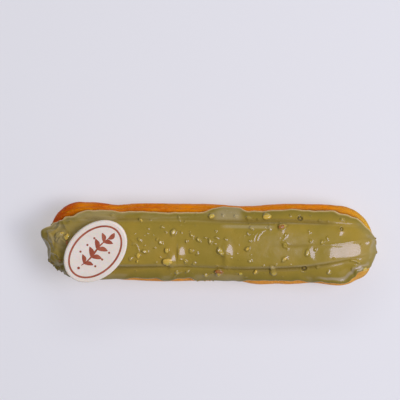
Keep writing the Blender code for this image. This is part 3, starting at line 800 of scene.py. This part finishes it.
def icing_grid():
    """The icing's outer points, the normals, the hidden underside, and named layers of values on the
    outer points: the lift over nuts, the painted shade round them, the way to the rim, and creases and lips,
    for painted shade and painted highlights."""
    x, y_out = around(ICING_STATIONS)
    turns = rim_turn(x, y_out)[:, None] * np.linspace(0, 1, ICING_ROWS)
    bun, facing = fluted(x, y_out, turns)
    from_rim = way_to_rim(bun)
    thickness, crease, lips = icing_thickness(bun, from_rim)
    outer = bun + facing * thickness[..., None]
    surface = Surface(outer, facing)
    nuts, nut_shades = nut_lumps(outer, surface)
    lift = (nuts + skin_marks(outer, surface)) * smooth_step(from_rim, *BARE_RIM)
    outer = outer + facing * lift[..., None]
    rows = np.linspace(0, ICING_ROWS - 1, UNDERSIDE_ROWS).astype(int)
    under = (bun - facing * ICING_SUNK)[:, rows]
    layers = {"lift": lift, "nut_shade": nut_shades, "rim": from_rim, "crease": crease, "lip": lips}
    return outer, facing, under, layers


def icing_coat(outer, under, layers, material):
    """The icing: its outer grid, closed by the hidden underside that the bun's crust covers."""
    top = Dome(outer)
    bottom = Dome(under, len(top.points))
    rim = ring_faces(top.rings[-1], bottom.rings[-1])
    faces = np.concatenate([top.faces, rim, bottom.faces[:, ::-1]])
    hidden = np.zeros(len(bottom.points))
    attributes = [(name, np.concatenate([top.in_order(layer), hidden])) for name, layer in layers.items()]
    points = np.concatenate([top.points, bottom.points])
    node = "pistachio_icing"
    piece("icing_coat", points, faces, material, attributes, node=node)


def unit_ball():
    """A ball of radius 1, as points on rings between two poles, and its faces: quads, then triangles."""
    around_it = np.linspace(0, 2 * math.pi, BALL_SIDES, endpoint=False)
    up_it = np.linspace(-math.pi / 2, math.pi / 2, BALL_RINGS + 2)[1:-1, None]
    x, y = np.cos(up_it) * np.cos(around_it), np.cos(up_it) * np.sin(around_it)
    points = np.stack([x, y, np.sin(up_it) * np.ones(BALL_SIDES)], axis=-1).reshape(-1, 3)
    rings = np.arange(len(points)).reshape(BALL_RINGS, BALL_SIDES)
    poles = fan_faces(len(points), rings[0], upwards=False) + fan_faces(len(points) + 1, rings[-1])
    return np.concatenate([points, [(0, 0, -1), (0, 0, 1)]]), band_faces(rings), np.array(poles)


def nut_bits(name, places, surface, material, height, sunk, seed):
    """Joined scraps of nut: each a ball made boxy by a third-power norm, roughened by noise and drawn out
    to its length, width and height, with its middle sunk in the icing."""
    ball, quads, poles = unit_ball()
    boxy = ball / np.sum(np.abs(ball) ** 3, axis=-1, keepdims=True) ** (1 / 3)
    points, faces = [], []
    for x, y, length, width, turn in places:
        at, axes = surface.frame_at(x, y, math.radians(turn))
        rough = 1 + BIT_ROUGHNESS * gradient_noise(boxy + (x, y, 0), 0.7, seed)[:, None]
        local = boxy * rough * (length / 2, width / 2, height)
        start = len(points) * len(ball)
        points.append(at - axes[2] * sunk + local @ axes)
        faces += (quads + start).tolist() + (poles + start).tolist()
    piece(name, np.concatenate(points), faces, material)


def crumb_places():
    """Place, length, width and turn of each crumb, drawn along the stretches."""
    draw = random.Random(CRUMB_SEED)
    places = []
    for x0, y0, x1, y1, count in CRUMB_STRETCHES:
        for _ in range(count):
            share = draw.random()
            x = x0 + (x1 - x0) * share + draw.uniform(-CRUMB_SCATTER, CRUMB_SCATTER)
            y = y0 + (y1 - y0) * share + draw.uniform(-CRUMB_SCATTER, CRUMB_SCATTER)
            length = draw.uniform(*CRUMB_SIZES)
            places.append((x, y, length, length * draw.uniform(*CRUMB_WIDTH), draw.uniform(0, 180)))
    return places


# ---------------------------------------------------------------------------------------- plaque


def plaque_place():
    """The plaque's middle, in millimetres, and its axes as rows: long, short and up."""
    low, high = (np.array(corner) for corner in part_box("white_chocolate_plaque"))
    west, south, turn = (math.radians(angle) for angle in (*PLAQUE_LEAN, PLAQUE_TURN))
    turned = Matrix.Rotation(south, 3, "X") @ Matrix.Rotation(-west, 3, "Y") @ Matrix.Rotation(turn, 3, "Z")
    return (low + high) / 2 / MM, np.array(turned.transposed())


def plaque_piece(name, points, faces, material, node=None):
    """A piece that is given in the plaque's own axes, laid in its place. Smooth noise makes disc and print
    uneven alike."""
    points[:, 2] += PLAQUE_UNEVENNESS * gradient_noise(points * (1, 1, 0), size=9, seed=51)
    middle, axes = plaque_place()
    piece(name, middle + points @ axes, faces, material, node=node)


def oval(half_length, half_width, count):
    """Points round an ellipse."""
    angle = np.linspace(0, 2 * math.pi, count, endpoint=False)
    return np.stack([half_length * np.cos(angle), half_width * np.sin(angle)], axis=-1)


def at_height(flat, height):
    """Flat points, raised to a height."""
    return np.column_stack([flat, np.full(len(flat), height)])


def plaque_rings(profile):
    """Rings round the plaque, one for each inset from its edge and height, and their point numbers."""
    sizes = [(PLAQUE_HALF_LENGTH - inset, PLAQUE_HALF_WIDTH - inset, height) for inset, height in profile]
    rings = [at_height(oval(long, short, PLAQUE_STATIONS), height) for long, short, height in sizes]
    return rings, np.arange(len(rings) * PLAQUE_STATIONS).reshape(-1, PLAQUE_STATIONS)


def plaque_disc(material):
    """The plaque: a profile of inset and height, with quarter circles at both edges, carried round an
    oval, and closed by rings that shrink to the middle of each face."""
    half = PLAQUE_THICKNESS / 2
    corner = np.linspace(0, math.pi / 2, 9)
    rounded = np.stack([1 - np.sin(corner), 1 - np.cos(corner)], axis=-1) * PLAQUE_ROUNDING
    lower = [(inset, -half) for inset in PLAQUE_FACE_INSETS]
    lower += [(inset, -half + rise) for inset, rise in rounded]
    upper = [(inset, -height) for inset, height in reversed(lower)]
    rings, numbers = plaque_rings(lower + upper)
    points = np.concatenate([*rings, [(0, 0, -half), (0, 0, half)]])
    low_middle, high_middle = len(points) - 2, len(points) - 1
    faces = band_faces(numbers).tolist()
    faces += fan_faces(low_middle, numbers[0], upwards=False) + fan_faces(high_middle, numbers[-1])
    plaque_piece("plaque_disc", points, faces, material, node="white_chocolate_plaque")


def leaf_outline(root, angle, length, width):
    """A leaf that starts at root and points along angle: its half width is the sine of the way along,
    to a power below 1, and its midline bends towards the sprig's tip along a sine."""
    way = np.linspace(0, 1, 15)
    half = width / 2 * np.sin(math.pi * way) ** LEAF_FULLNESS
    bend = -LEAF_BEND * math.copysign(1, angle) * length * np.sin(math.pi * way)
    edge = np.concatenate([
        np.stack([way * length, bend + half], axis=-1),
        np.stack([way * length, bend - half], axis=-1)[-2:0:-1],
    ])
    turned = np.array([[math.cos(angle), math.sin(angle)], [-math.sin(angle), math.cos(angle)]])
    return root + edge @ turned


def sprig():
    """The ornament's outlines in the plaque's plane: a tapered stem that bends along a sine, pairs of leaves
    that are largest near its middle, a leaf at its tip, and berries at its foot and beside it."""
    way = np.linspace(-1, 1, 25)
    wave = STEM_WAVE * np.sin(math.pi * way)
    half = STEM_WIDTH / 2 * (1 - STEM_TAPER * np.abs(way))
    x = way * STEM_HALF_LENGTH
    stem = np.concatenate([np.stack([x, wave - half], axis=-1), np.stack([x, wave + half], axis=-1)[::-1]])
    shapes = [stem]
    for i in range(LEAF_PAIRS):
        share = (i + LEAVES_START) / LEAF_PAIRS * 2 - 1
        root = np.array([share * STEM_HALF_LENGTH, STEM_WAVE * math.sin(math.pi * share)])
        size = 1 - LEAF_SHRINKING * abs(share - LARGEST_LEAVES)
        for side in (1, -1):
            angle = side * math.radians(LEAF_ANGLE)
            shapes.append(leaf_outline(root, angle, LEAF_LENGTH * size, LEAF_WIDTH * size))
    place, long, wide = TIP_LEAF
    tip = np.array([SPRIG_HALF_LENGTH * place, 0.0])
    shapes.append(leaf_outline(tip, 0.0, LEAF_LENGTH * long, LEAF_WIDTH * wide))
    berry = oval(BERRY_RADIUS, BERRY_RADIUS, 20)
    shapes.append(berry - (SPRIG_HALF_LENGTH + FOOT_BERRY_GAP, 0))
    for i in range(LEAF_PAIRS - 1):
        x = ((i + BERRIES_START) / LEAF_PAIRS * 2 - 1) * STEM_HALF_LENGTH
        shapes += [berry * SIDE_BERRY + (x, side * BERRY_OFF) for side in (1, -1)]
    return shapes


def plaque_print(material):
    """The printed ring, a flat band swept round an oval, and the sprig's shapes as thin plates."""
    top = PLAQUE_THICKNESS / 2 + PRINT_RAISED
    bottom = top - PRINT_THICKNESS
    outer, inner = RING_INSET - RING_WIDTH / 2, RING_INSET + RING_WIDTH / 2
    points, numbers = plaque_rings([(outer, bottom), (outer, top), (inner, top), (inner, bottom)])
    faces = band_faces([*numbers, numbers[0]]).tolist()
    start = numbers.size
    for shape in sprig():
        points += [at_height(shape, bottom), at_height(shape, top)]
        low = start + np.arange(len(shape))
        high = low + len(shape)
        faces += [low[::-1].tolist(), high.tolist()]
        faces += ring_faces(low, high).tolist()
        start += 2 * len(shape)
    plaque_piece("plaque_print", np.concatenate(points), faces, material)


# ---------------------------------------------------------------------------------------- materials


class Value:
    """A shader socket that adds a Math node for each operator it is used with."""

    def __init__(self, shader, socket):
        self.shader = shader
        self.socket = socket

    def math(self, operation, *values):
        """A Math node on these values."""
        inputs = dict(enumerate(values))
        made = self.shader.node("ShaderNodeMath", {"operation": operation}, inputs)
        return Value(self.shader, made.outputs[0])

    def __add__(self, other):
        return self.math("ADD", self, other)

    def __sub__(self, other):
        return self.math("SUBTRACT", self, other)

    def __rsub__(self, other):
        return self.math("SUBTRACT", other, self)

    def __mul__(self, other):
        return self.math("MULTIPLY", self, other)

    __radd__ = __add__
    __rmul__ = __mul__

    def between(self, low, high):
        """0 up to low and 1 from high, eased between."""
        inputs = {"Value": self, "From Min": low, "From Max": high}
        ranged = self.shader.node("ShaderNodeMapRange", {"interpolation_type": "SMOOTHSTEP"}, inputs)
        return Value(self.shader, ranged.outputs["Result"])

    def within(self, low, full, still, high):
        """0 up to low and from high on, 1 from full to still, eased between."""
        return self.between(low, full) * (1 - self.between(still, high))


class Shader:
    """A material and its Principled shader, with short ways to add nodes."""

    def __init__(self, name, constants):
        self.material = bpy.data.materials.new(name)
        self.material.use_nodes = True
        self.tree = self.material.node_tree
        self.surface = self.tree.nodes["Principled BSDF"]
        self.place = self.node("ShaderNodeTexCoord", {}, {}).outputs["Object"]
        for socket, value in constants.items():
            self.surface.inputs[socket].default_value = value

    def node(self, kind, settings, inputs):
        """A node of this kind, its settings made first, then its sockets filled or linked."""
        made = self.tree.nodes.new(kind)
        for setting, value in settings.items():
            setattr(made, setting, value)
        for socket, value in inputs.items():
            self.put(made.inputs[socket], value)
        return made

    def put(self, socket, value):
        """Fills a socket with a number or a colour, or links it."""
        if isinstance(value, Value):
            value = value.socket
        if isinstance(value, bpy.types.NodeSocket):
            self.tree.links.new(value, socket)
        elif isinstance(value, tuple) and socket.type == "RGBA":
            socket.default_value = (*value, 1)
        else:
            socket.default_value = value

    def set(self, **inputs):
        """Fills or links the Principled shader's sockets, with _ for a space."""
        for name, value in inputs.items():
            self.put(self.surface.inputs[name.replace("_", " ")], value)

    def axes(self, *names):
        """Object coordinates along these axes, in millimetres."""
        parts = self.node("ShaderNodeSeparateXYZ", {}, {0: self.place}).outputs
        return [Value(self, parts[name]) * (1 / MM) for name in names]

    def attributes(self, *names):
        """The values of the piece's own attributes."""
        made = [self.node("ShaderNodeAttribute", {"attribute_name": name}, {}) for name in names]
        return [Value(self, each.outputs["Fac"]) for each in made]

    def stretched(self, x, y, z):
        """Object coordinates, multiplied along each axis."""
        inputs = {0: self.place, 1: (x, y, z)}
        return self.node("ShaderNodeVectorMath", {"operation": "MULTIPLY"}, inputs).outputs[0]

    def noise(self, size, detail, roughness=0.55, place=None):
        """Noise from 0 to 1 whose largest features have that size in millimetres."""
        inputs = {"Vector": place or self.place, "Scale": 1 / (size * MM), "Detail": detail}
        inputs["Roughness"] = roughness
        return Value(self, self.node("ShaderNodeTexNoise", {}, inputs).outputs["Fac"])

    def cell_edges(self, size, place):
        """Distance from the edges of cells of that size in millimetres, in cells."""
        inputs = {"Vector": place, "Scale": 1 / (size * MM)}
        made = self.node("ShaderNodeTexVoronoi", {"feature": "DISTANCE_TO_EDGE"}, inputs)
        return Value(self, made.outputs["Distance"])

    def mix(self, first, second, share):
        """Colour from first to second."""
        inputs = {"Factor": share, 6: first, 7: second}
        return self.node("ShaderNodeMix", {"data_type": "RGBA"}, inputs).outputs[2]

    def layered(self, colour, layers):
        """A colour with others laid over it, from the lowest up: pairs of colour and cover, from 0 to 1."""
        for other, cover in layers:
            colour = self.mix(colour, other, cover)
        return colour

    def bump(self, height, depth, below=None):
        """A normal from this height, with the depth in millimetres of a height of 1."""
        inputs = {"Height": height, "Distance": depth * MM}
        if below is not None:
            inputs["Normal"] = below
        return self.node("ShaderNodeBump", {}, inputs).outputs["Normal"]


def baked_choux():
    """Golden crust: browner where it stands out and in patches, paler in the cracks and near the base, with a
    fine crackle and pores. Painted shade makes it browner towards the west and dark next to the icing, less
    so in the south, and painted light makes it paler along the south side and at the east tip."""
    shader = Shader("baked_choux", {"IOR": 1.45, "Specular IOR Level": 0.04})
    relief, crack, below_icing = shader.attributes("relief", "crack", "below_icing")
    east, north, height = shader.axes("X", "Y", "Z")
    patches = shader.noise(16, 3)
    mottle = shader.noise(2.6, 4)
    pores = shader.noise(0.55, 3, 0.6)
    # Browning from relief and patches, plus painted shade towards the west and painted light towards the east
    browning_and_west_shade = (relief * 1.2 + patches * 0.8 - east * 0.009).between(0.45, 1.25)
    colour = shader.mix((0.80, 0.238, 0.002), (0.58, 0.080, 0.001), browning_and_west_shade)
    south = north.between(-8, -14)
    colour = shader.layered(colour, (
        ((0.80, 0.34, 0.004), mottle.between(0.52, 0.75) * 0.22),
        ((0.78, 0.36, 0.01), crack.between(0.25, 0.9) * 0.5),
        # Painted light: paler at the east tip
        ((0.60, 0.39, 0.04), (east + patches * 20).between(62, 82) * 0.8),
        ((0.76, 0.42, 0.07), 1 - height.between(0.5, 7)),
        ((0.45, 0.11, 0.001), pores.between(0.62, 0.74) * 0.35),
        # Painted light: paler along the shaded south side
        ((0.95, 0.49, 0.10), south * 0.5),
        # Painted shade next to the icing's rim, none in the south
        ((0.33, 0.11, 0.004), (1 - below_icing.between(0.2, 1.6)) * (1 - south)),
        ((0.62, 0.33, 0.07), south * east.between(62, 68) * 0.8),
    ))
    crackle = shader.cell_edges(2.1, shader.stretched(0.45, 1, 1)).between(0.0, 0.09)
    normal = shader.bump(crackle + mottle * 1.5, 0.12, below=shader.bump(pores, 0.10))
    shader.set(Base_Color=colour, Roughness=0.38 + mottle * 0.22, Normal=normal)
    return shader.material


def pistachio_icing():
    """Glossy green-brown icing: slow drifts between olive and ochre, yellower where it is thin over a nut,
    dark with painted shade in bubbles, round nuts and in creases, greener at the rim, with a pale line of
    painted highlight along the north side, and finely specked with ground nut. Pale painted sheen, highlights
    and reflections lie at the west end, on the lips of the creases, on the north shoulder, beside the
    northern crease, at the east tip, in a patch on the north side and on the rim that rolled back. The gloss
    is broken by fine grain, strongest over nuts and clouds, and weaker in creases and at the rim."""
    constants = {"IOR": 1.48, "Specular IOR Level": 0.3, "Coat Roughness": 0.06, "Coat IOR": 1.55}
    shader = Shader("pistachio_icing", constants)
    lift, rim, crease, nut_shade, lip = shader.attributes("lift", "rim", "crease", "nut_shade", "lip")
    east, north = shader.axes("X", "Y")
    drift = shader.noise(19, 2)
    cloud = shader.noise(4.2, 4)
    dust = shader.noise(0.5, 2, 0.6)
    # The patches in which the painted sheen shows
    sheen_patches = shader.noise(5, 3, place=shader.stretched(0.35, 1, 1)).between(0.36, 0.62)
    # Where painted sheen, highlights and reflections lie
    west_end = east.between(-58, -68) * north.between(-6, -2)
    shoulder = (north - east * 0.09).between(12.0, 13.5) * east.between(24, 10)
    beside_crease = north.within(6.8, 7.8, 8.3, 9.0) * east.within(4, 8, 26, 30)
    shine = east.within(1, 4, 12, 16) * north.between(10, 12) * rim.between(2, 5)
    rolled = rim.within(2.4, 3.2, 3.4, 4.4) * north.between(-6, -9) * east.between(46, 52)
    ochre = (drift + cloud * 0.5).between(0.55, 0.95)
    colour = shader.mix((0.295, 0.212, 0.024), (0.352, 0.238, 0.026), ochre)
    colour = shader.layered(colour, (
        ((0.52, 0.39, 0.06), lift.between(0.15, 0.8) * 0.6),
        # Painted shade in the bubbles' moats
        ((0.10, 0.07, 0.015), 1 - lift.between(-0.35, -0.05)),
        # Painted shade in the creases
        ((0.17, 0.115, 0.018), crease.between(0.1, 1.0) * 0.6),
        ((0.215, 0.165, 0.022), 1 - rim.between(0.8, 6.0)),
        # Painted shade round the nuts
        ((0.13, 0.085, 0.012), nut_shade * 0.35),
        # Painted sheen at the west end
        ((0.31, 0.25, 0.11), west_end * sheen_patches * 0.75),
        # Painted highlight on the lips of the creases
        ((0.44, 0.37, 0.20), lip * (sheen_patches * 0.7 + 0.3) * 0.5),
        # Painted sheen on the north shoulder
        ((0.38, 0.305, 0.14), shoulder * sheen_patches * 0.55),
        # Painted sheen beside the northern crease
        ((0.40, 0.33, 0.16), beside_crease * 0.55),
        # Painted reflection at the east tip
        ((0.33, 0.26, 0.09), east.between(64, 71) * 0.4),
        # Painted reflection in a patch on the north side
        ((0.38, 0.31, 0.15), shine * 0.7),
        # Painted highlight along the rim that rolled back
        ((0.44, 0.37, 0.27), rolled * 0.5),
        # Painted highlight: a pale line along the north rim
        ((0.70, 0.50, 0.20), (1 - rim.between(0.9, 2.2)) * north.between(0, 6) * 0.8),
        ((0.42, 0.32, 0.06), dust.between(0.66, 0.74) * 0.45),
        ((0.17, 0.12, 0.012), (1 - dust).between(0.66, 0.74) * 0.4),
    ))
    ripple = shader.noise(3.0, 2)
    grain = shader.noise(1.3, 3, place=shader.stretched(1, 0.6, 1))
    normal = shader.bump(ripple + grain * 0.35 + dust * 0.22, 0.10)
    gloss = rim.between(-2.0, 6.0) * (1 - crease.between(0.1, 0.6))
    coat = (0.5 + cloud * 0.36 + lift.between(0.1, 0.4) * 0.3) * gloss
    shader.set(Base_Color=colour, Roughness=0.24 + cloud * 0.14 + crease * 0.3)
    shader.set(Coat_Weight=coat, Normal=normal)
    return shader.material


def nut_kernel():
    """Chopped kernel under a glossy film of icing: yellow to yellow-green, with darker specks."""
    shader = Shader("nut_kernel", {"IOR": 1.5, "Coat Roughness": 0.08, "Coat IOR": 1.8})
    patches = shader.noise(1.6, 3)
    grain = shader.noise(0.35, 3)
    colour = shader.mix((0.64, 0.42, 0.05), (0.50, 0.41, 0.06), patches.between(0.48, 0.66))
    colour = shader.mix(colour, (0.36, 0.22, 0.03), grain.between(0.58, 0.74) * 0.6)
    shader.set(Base_Color=colour, Roughness=0.25 + grain * 0.2)
    shader.set(Coat_Weight=0.5 + grain * 0.2, Normal=shader.bump(grain, 0.08))
    return shader.material


def nut_skin():
    """Papery nut skin in the icing: rusty brown with darker veins."""
    shader = Shader("nut_skin", {"IOR": 1.45, "Coat Roughness": 0.1})
    patches = shader.noise(1.1, 3)
    veins = shader.noise(0.4, 2, 0.5, shader.stretched(0.4, 1, 1))
    colour = shader.mix((0.40, 0.13, 0.02), (0.33, 0.17, 0.035), patches.between(0.4, 0.62))
    colour = shader.mix(colour, (0.15, 0.045, 0.012), veins.between(0.55, 0.7) * 0.7)
    shader.set(Base_Color=colour, Roughness=0.3 + veins * 0.2)
    shader.set(Coat_Weight=0.4 + veins * 0.2, Normal=shader.bump(veins, 0.08))
    return shader.material


def crumb():
    """Dry crumbs: brown and olive, paler on their broken sides."""
    shader = Shader("crumb", {"IOR": 1.45})
    patches = shader.noise(0.9, 2)
    grain = shader.noise(0.3, 3)
    colour = shader.mix((0.15, 0.10, 0.02), (0.40, 0.27, 0.06), patches.between(0.42, 0.6))
    colour = shader.mix(colour, (0.60, 0.46, 0.16), grain.between(0.58, 0.7) * 0.7)
    shader.set(Base_Color=colour, Roughness=0.5 + grain * 0.2, Normal=shader.bump(grain, 0.08))
    return shader.material


def white_chocolate():
    """Satin ivory, a little mottled, with a faint bloom and mould marks."""
    shader = Shader("white_chocolate", {"IOR": 1.46, "Subsurface Weight": 0.12, "Subsurface Scale": 0.002})
    cloud = shader.noise(7, 3)
    bloom = shader.noise(1.1, 4)
    colour = shader.mix((0.820, 0.735, 0.606), (0.86, 0.780, 0.660), cloud.between(0.35, 0.65))
    colour = shader.mix(colour, (0.85, 0.80, 0.74), bloom.between(0.56, 0.72) * 0.4)
    shader.set(Base_Color=colour, Roughness=0.34 + bloom * 0.16, Normal=shader.bump(bloom + cloud, 0.03))
    return shader.material


def cocoa_print():
    """Edible ink on the chocolate: brick brown, slightly broken by the surface."""
    shader = Shader("cocoa_print", {"IOR": 1.45})
    grain = shader.noise(0.45, 3, 0.6)
    cloud = shader.noise(5, 2)
    colour = shader.mix((0.34, 0.075, 0.032), (0.42, 0.115, 0.055), cloud.between(0.4, 0.62))
    colour = shader.mix(colour, (0.62, 0.34, 0.24), grain.between(0.60, 0.74) * 0.5)
    shader.set(Base_Color=colour, Roughness=0.4 + grain * 0.2, Normal=shader.bump(grain, 0.02))
    return shader.material


# ---------------------------------------------------------------------------------------- studio


def floor():
    """A pale table, lit a little from within so that the shadows stay light."""
    glow = {"Emission Color": (0.96, 0.95, 1.0, 1), "Emission Strength": 0.38}
    shader = Shader("pale_floor", {"Roughness": 0.9, "Specular IOR Level": 0.1, **glow})
    shade = shader.noise(400, 1)
    shader.set(Base_Color=shader.mix((0.390, 0.394, 0.400), (0.400, 0.404, 0.410), shade))
    half, below = FLOOR_HALF_WIDTH * MM, -FLOOR_GAP * MM
    corners = [(-half, -half, below), (half, -half, below), (half, half, below), (-half, half, below)]
    mesh = bpy.data.meshes.new("floor")
    mesh.from_pydata(corners, [], [(0, 1, 2, 3)])
    mesh.materials.append(shader.material)
    add_object("floor", mesh)


def softbox(name, towards, size, radiance, colour, mirrored=True):
    """A rectangular light a metre away in that direction from the eclair, facing it. One that isn't
    mirrored lights the eclair without showing in its gloss."""
    data = bpy.data.lights.new(name, "AREA")
    data.shape = "RECTANGLE"
    data.size, data.size_y = size
    data.energy = radiance * math.pi * data.size * data.size_y
    data.color = colour
    obj = add_object(name, data)
    obj.location = np.array(towards) / np.linalg.norm(towards)
    obj.rotation_euler = obj.location.to_track_quat("Z", "Y").to_euler()
    obj.visible_glossy = mirrored


def studio():
    """An even room, a bright softbox to the east, a little south, and dimmer ones on the other sides."""
    world = bpy.data.worlds.new("room")
    world.use_nodes = True
    background = world.node_tree.nodes["Background"]
    background.inputs["Color"].default_value = (1.0, 0.99, 1.0, 1)
    background.inputs["Strength"].default_value = 0.17
    bpy.context.scene.world = world
    softbox("east_softbox", (0.56, -0.045, 1.0), (0.58, 0.50), 5.6, (0.95, 0.92, 1.32))
    softbox("east_fill", (0.75, -0.1, 1.0), (0.3, 0.3), 9.0, (1.04, 1.03, 0.78), mirrored=False)
    softbox("southeast_strip", (0.85, -0.7, 0.7), (0.8, 0.12), 0.5, (0.985, 0.965, 1.06))
    softbox("north_fill", (0.1, 1.0, 1.0), (0.8, 0.16), 4.8, (1.0, 1.0, 1.0), mirrored=False)
    softbox("west_softbox", (-0.8, 0.3, 1.0), (0.5, 0.7), 0.45, (1.0, 1.0, 1.0))
    bpy.context.scene.view_settings.view_transform = "Standard"


def camera():
    """A long lens above, at the distance where a pixel of the frame covers its share of the subject."""
    data = bpy.data.cameras.new("camera")
    data.sensor_width = SENSOR
    data.lens = LENS
    obj = add_object("camera", data)
    distance = FRAME_PIXELS * MM_PER_PIXEL * LENS / SENSOR
    obj.location = (CAMERA_AT[0] * MM, CAMERA_AT[1] * MM, (SUBJECT_HEIGHT + distance) * MM)
    obj.rotation_euler = (0, 0, math.radians(CAMERA_ROLL))
    bpy.context.scene.camera = obj


def main():
    """Makes every piece, then the table, the lights and the camera."""
    outer, facing, under, layers = icing_grid()
    surface = Surface(outer, facing)
    choux_bun(baked_choux())
    icing_coat(outer, under, layers, pistachio_icing())
    nut_bits("nut_kernels", BARE_KERNELS, surface, nut_kernel(), height=0.75, sunk=0.35, seed=61)
    nut_bits("nut_skins", BARE_SKINS, surface, nut_skin(), height=0.5, sunk=0.22, seed=62)
    nut_bits("crumbs", crumb_places(), surface, crumb(), height=0.4, sunk=0.1, seed=63)
    plaque_disc(white_chocolate())
    plaque_print(cocoa_print())
    floor()
    studio()
    camera()


main()
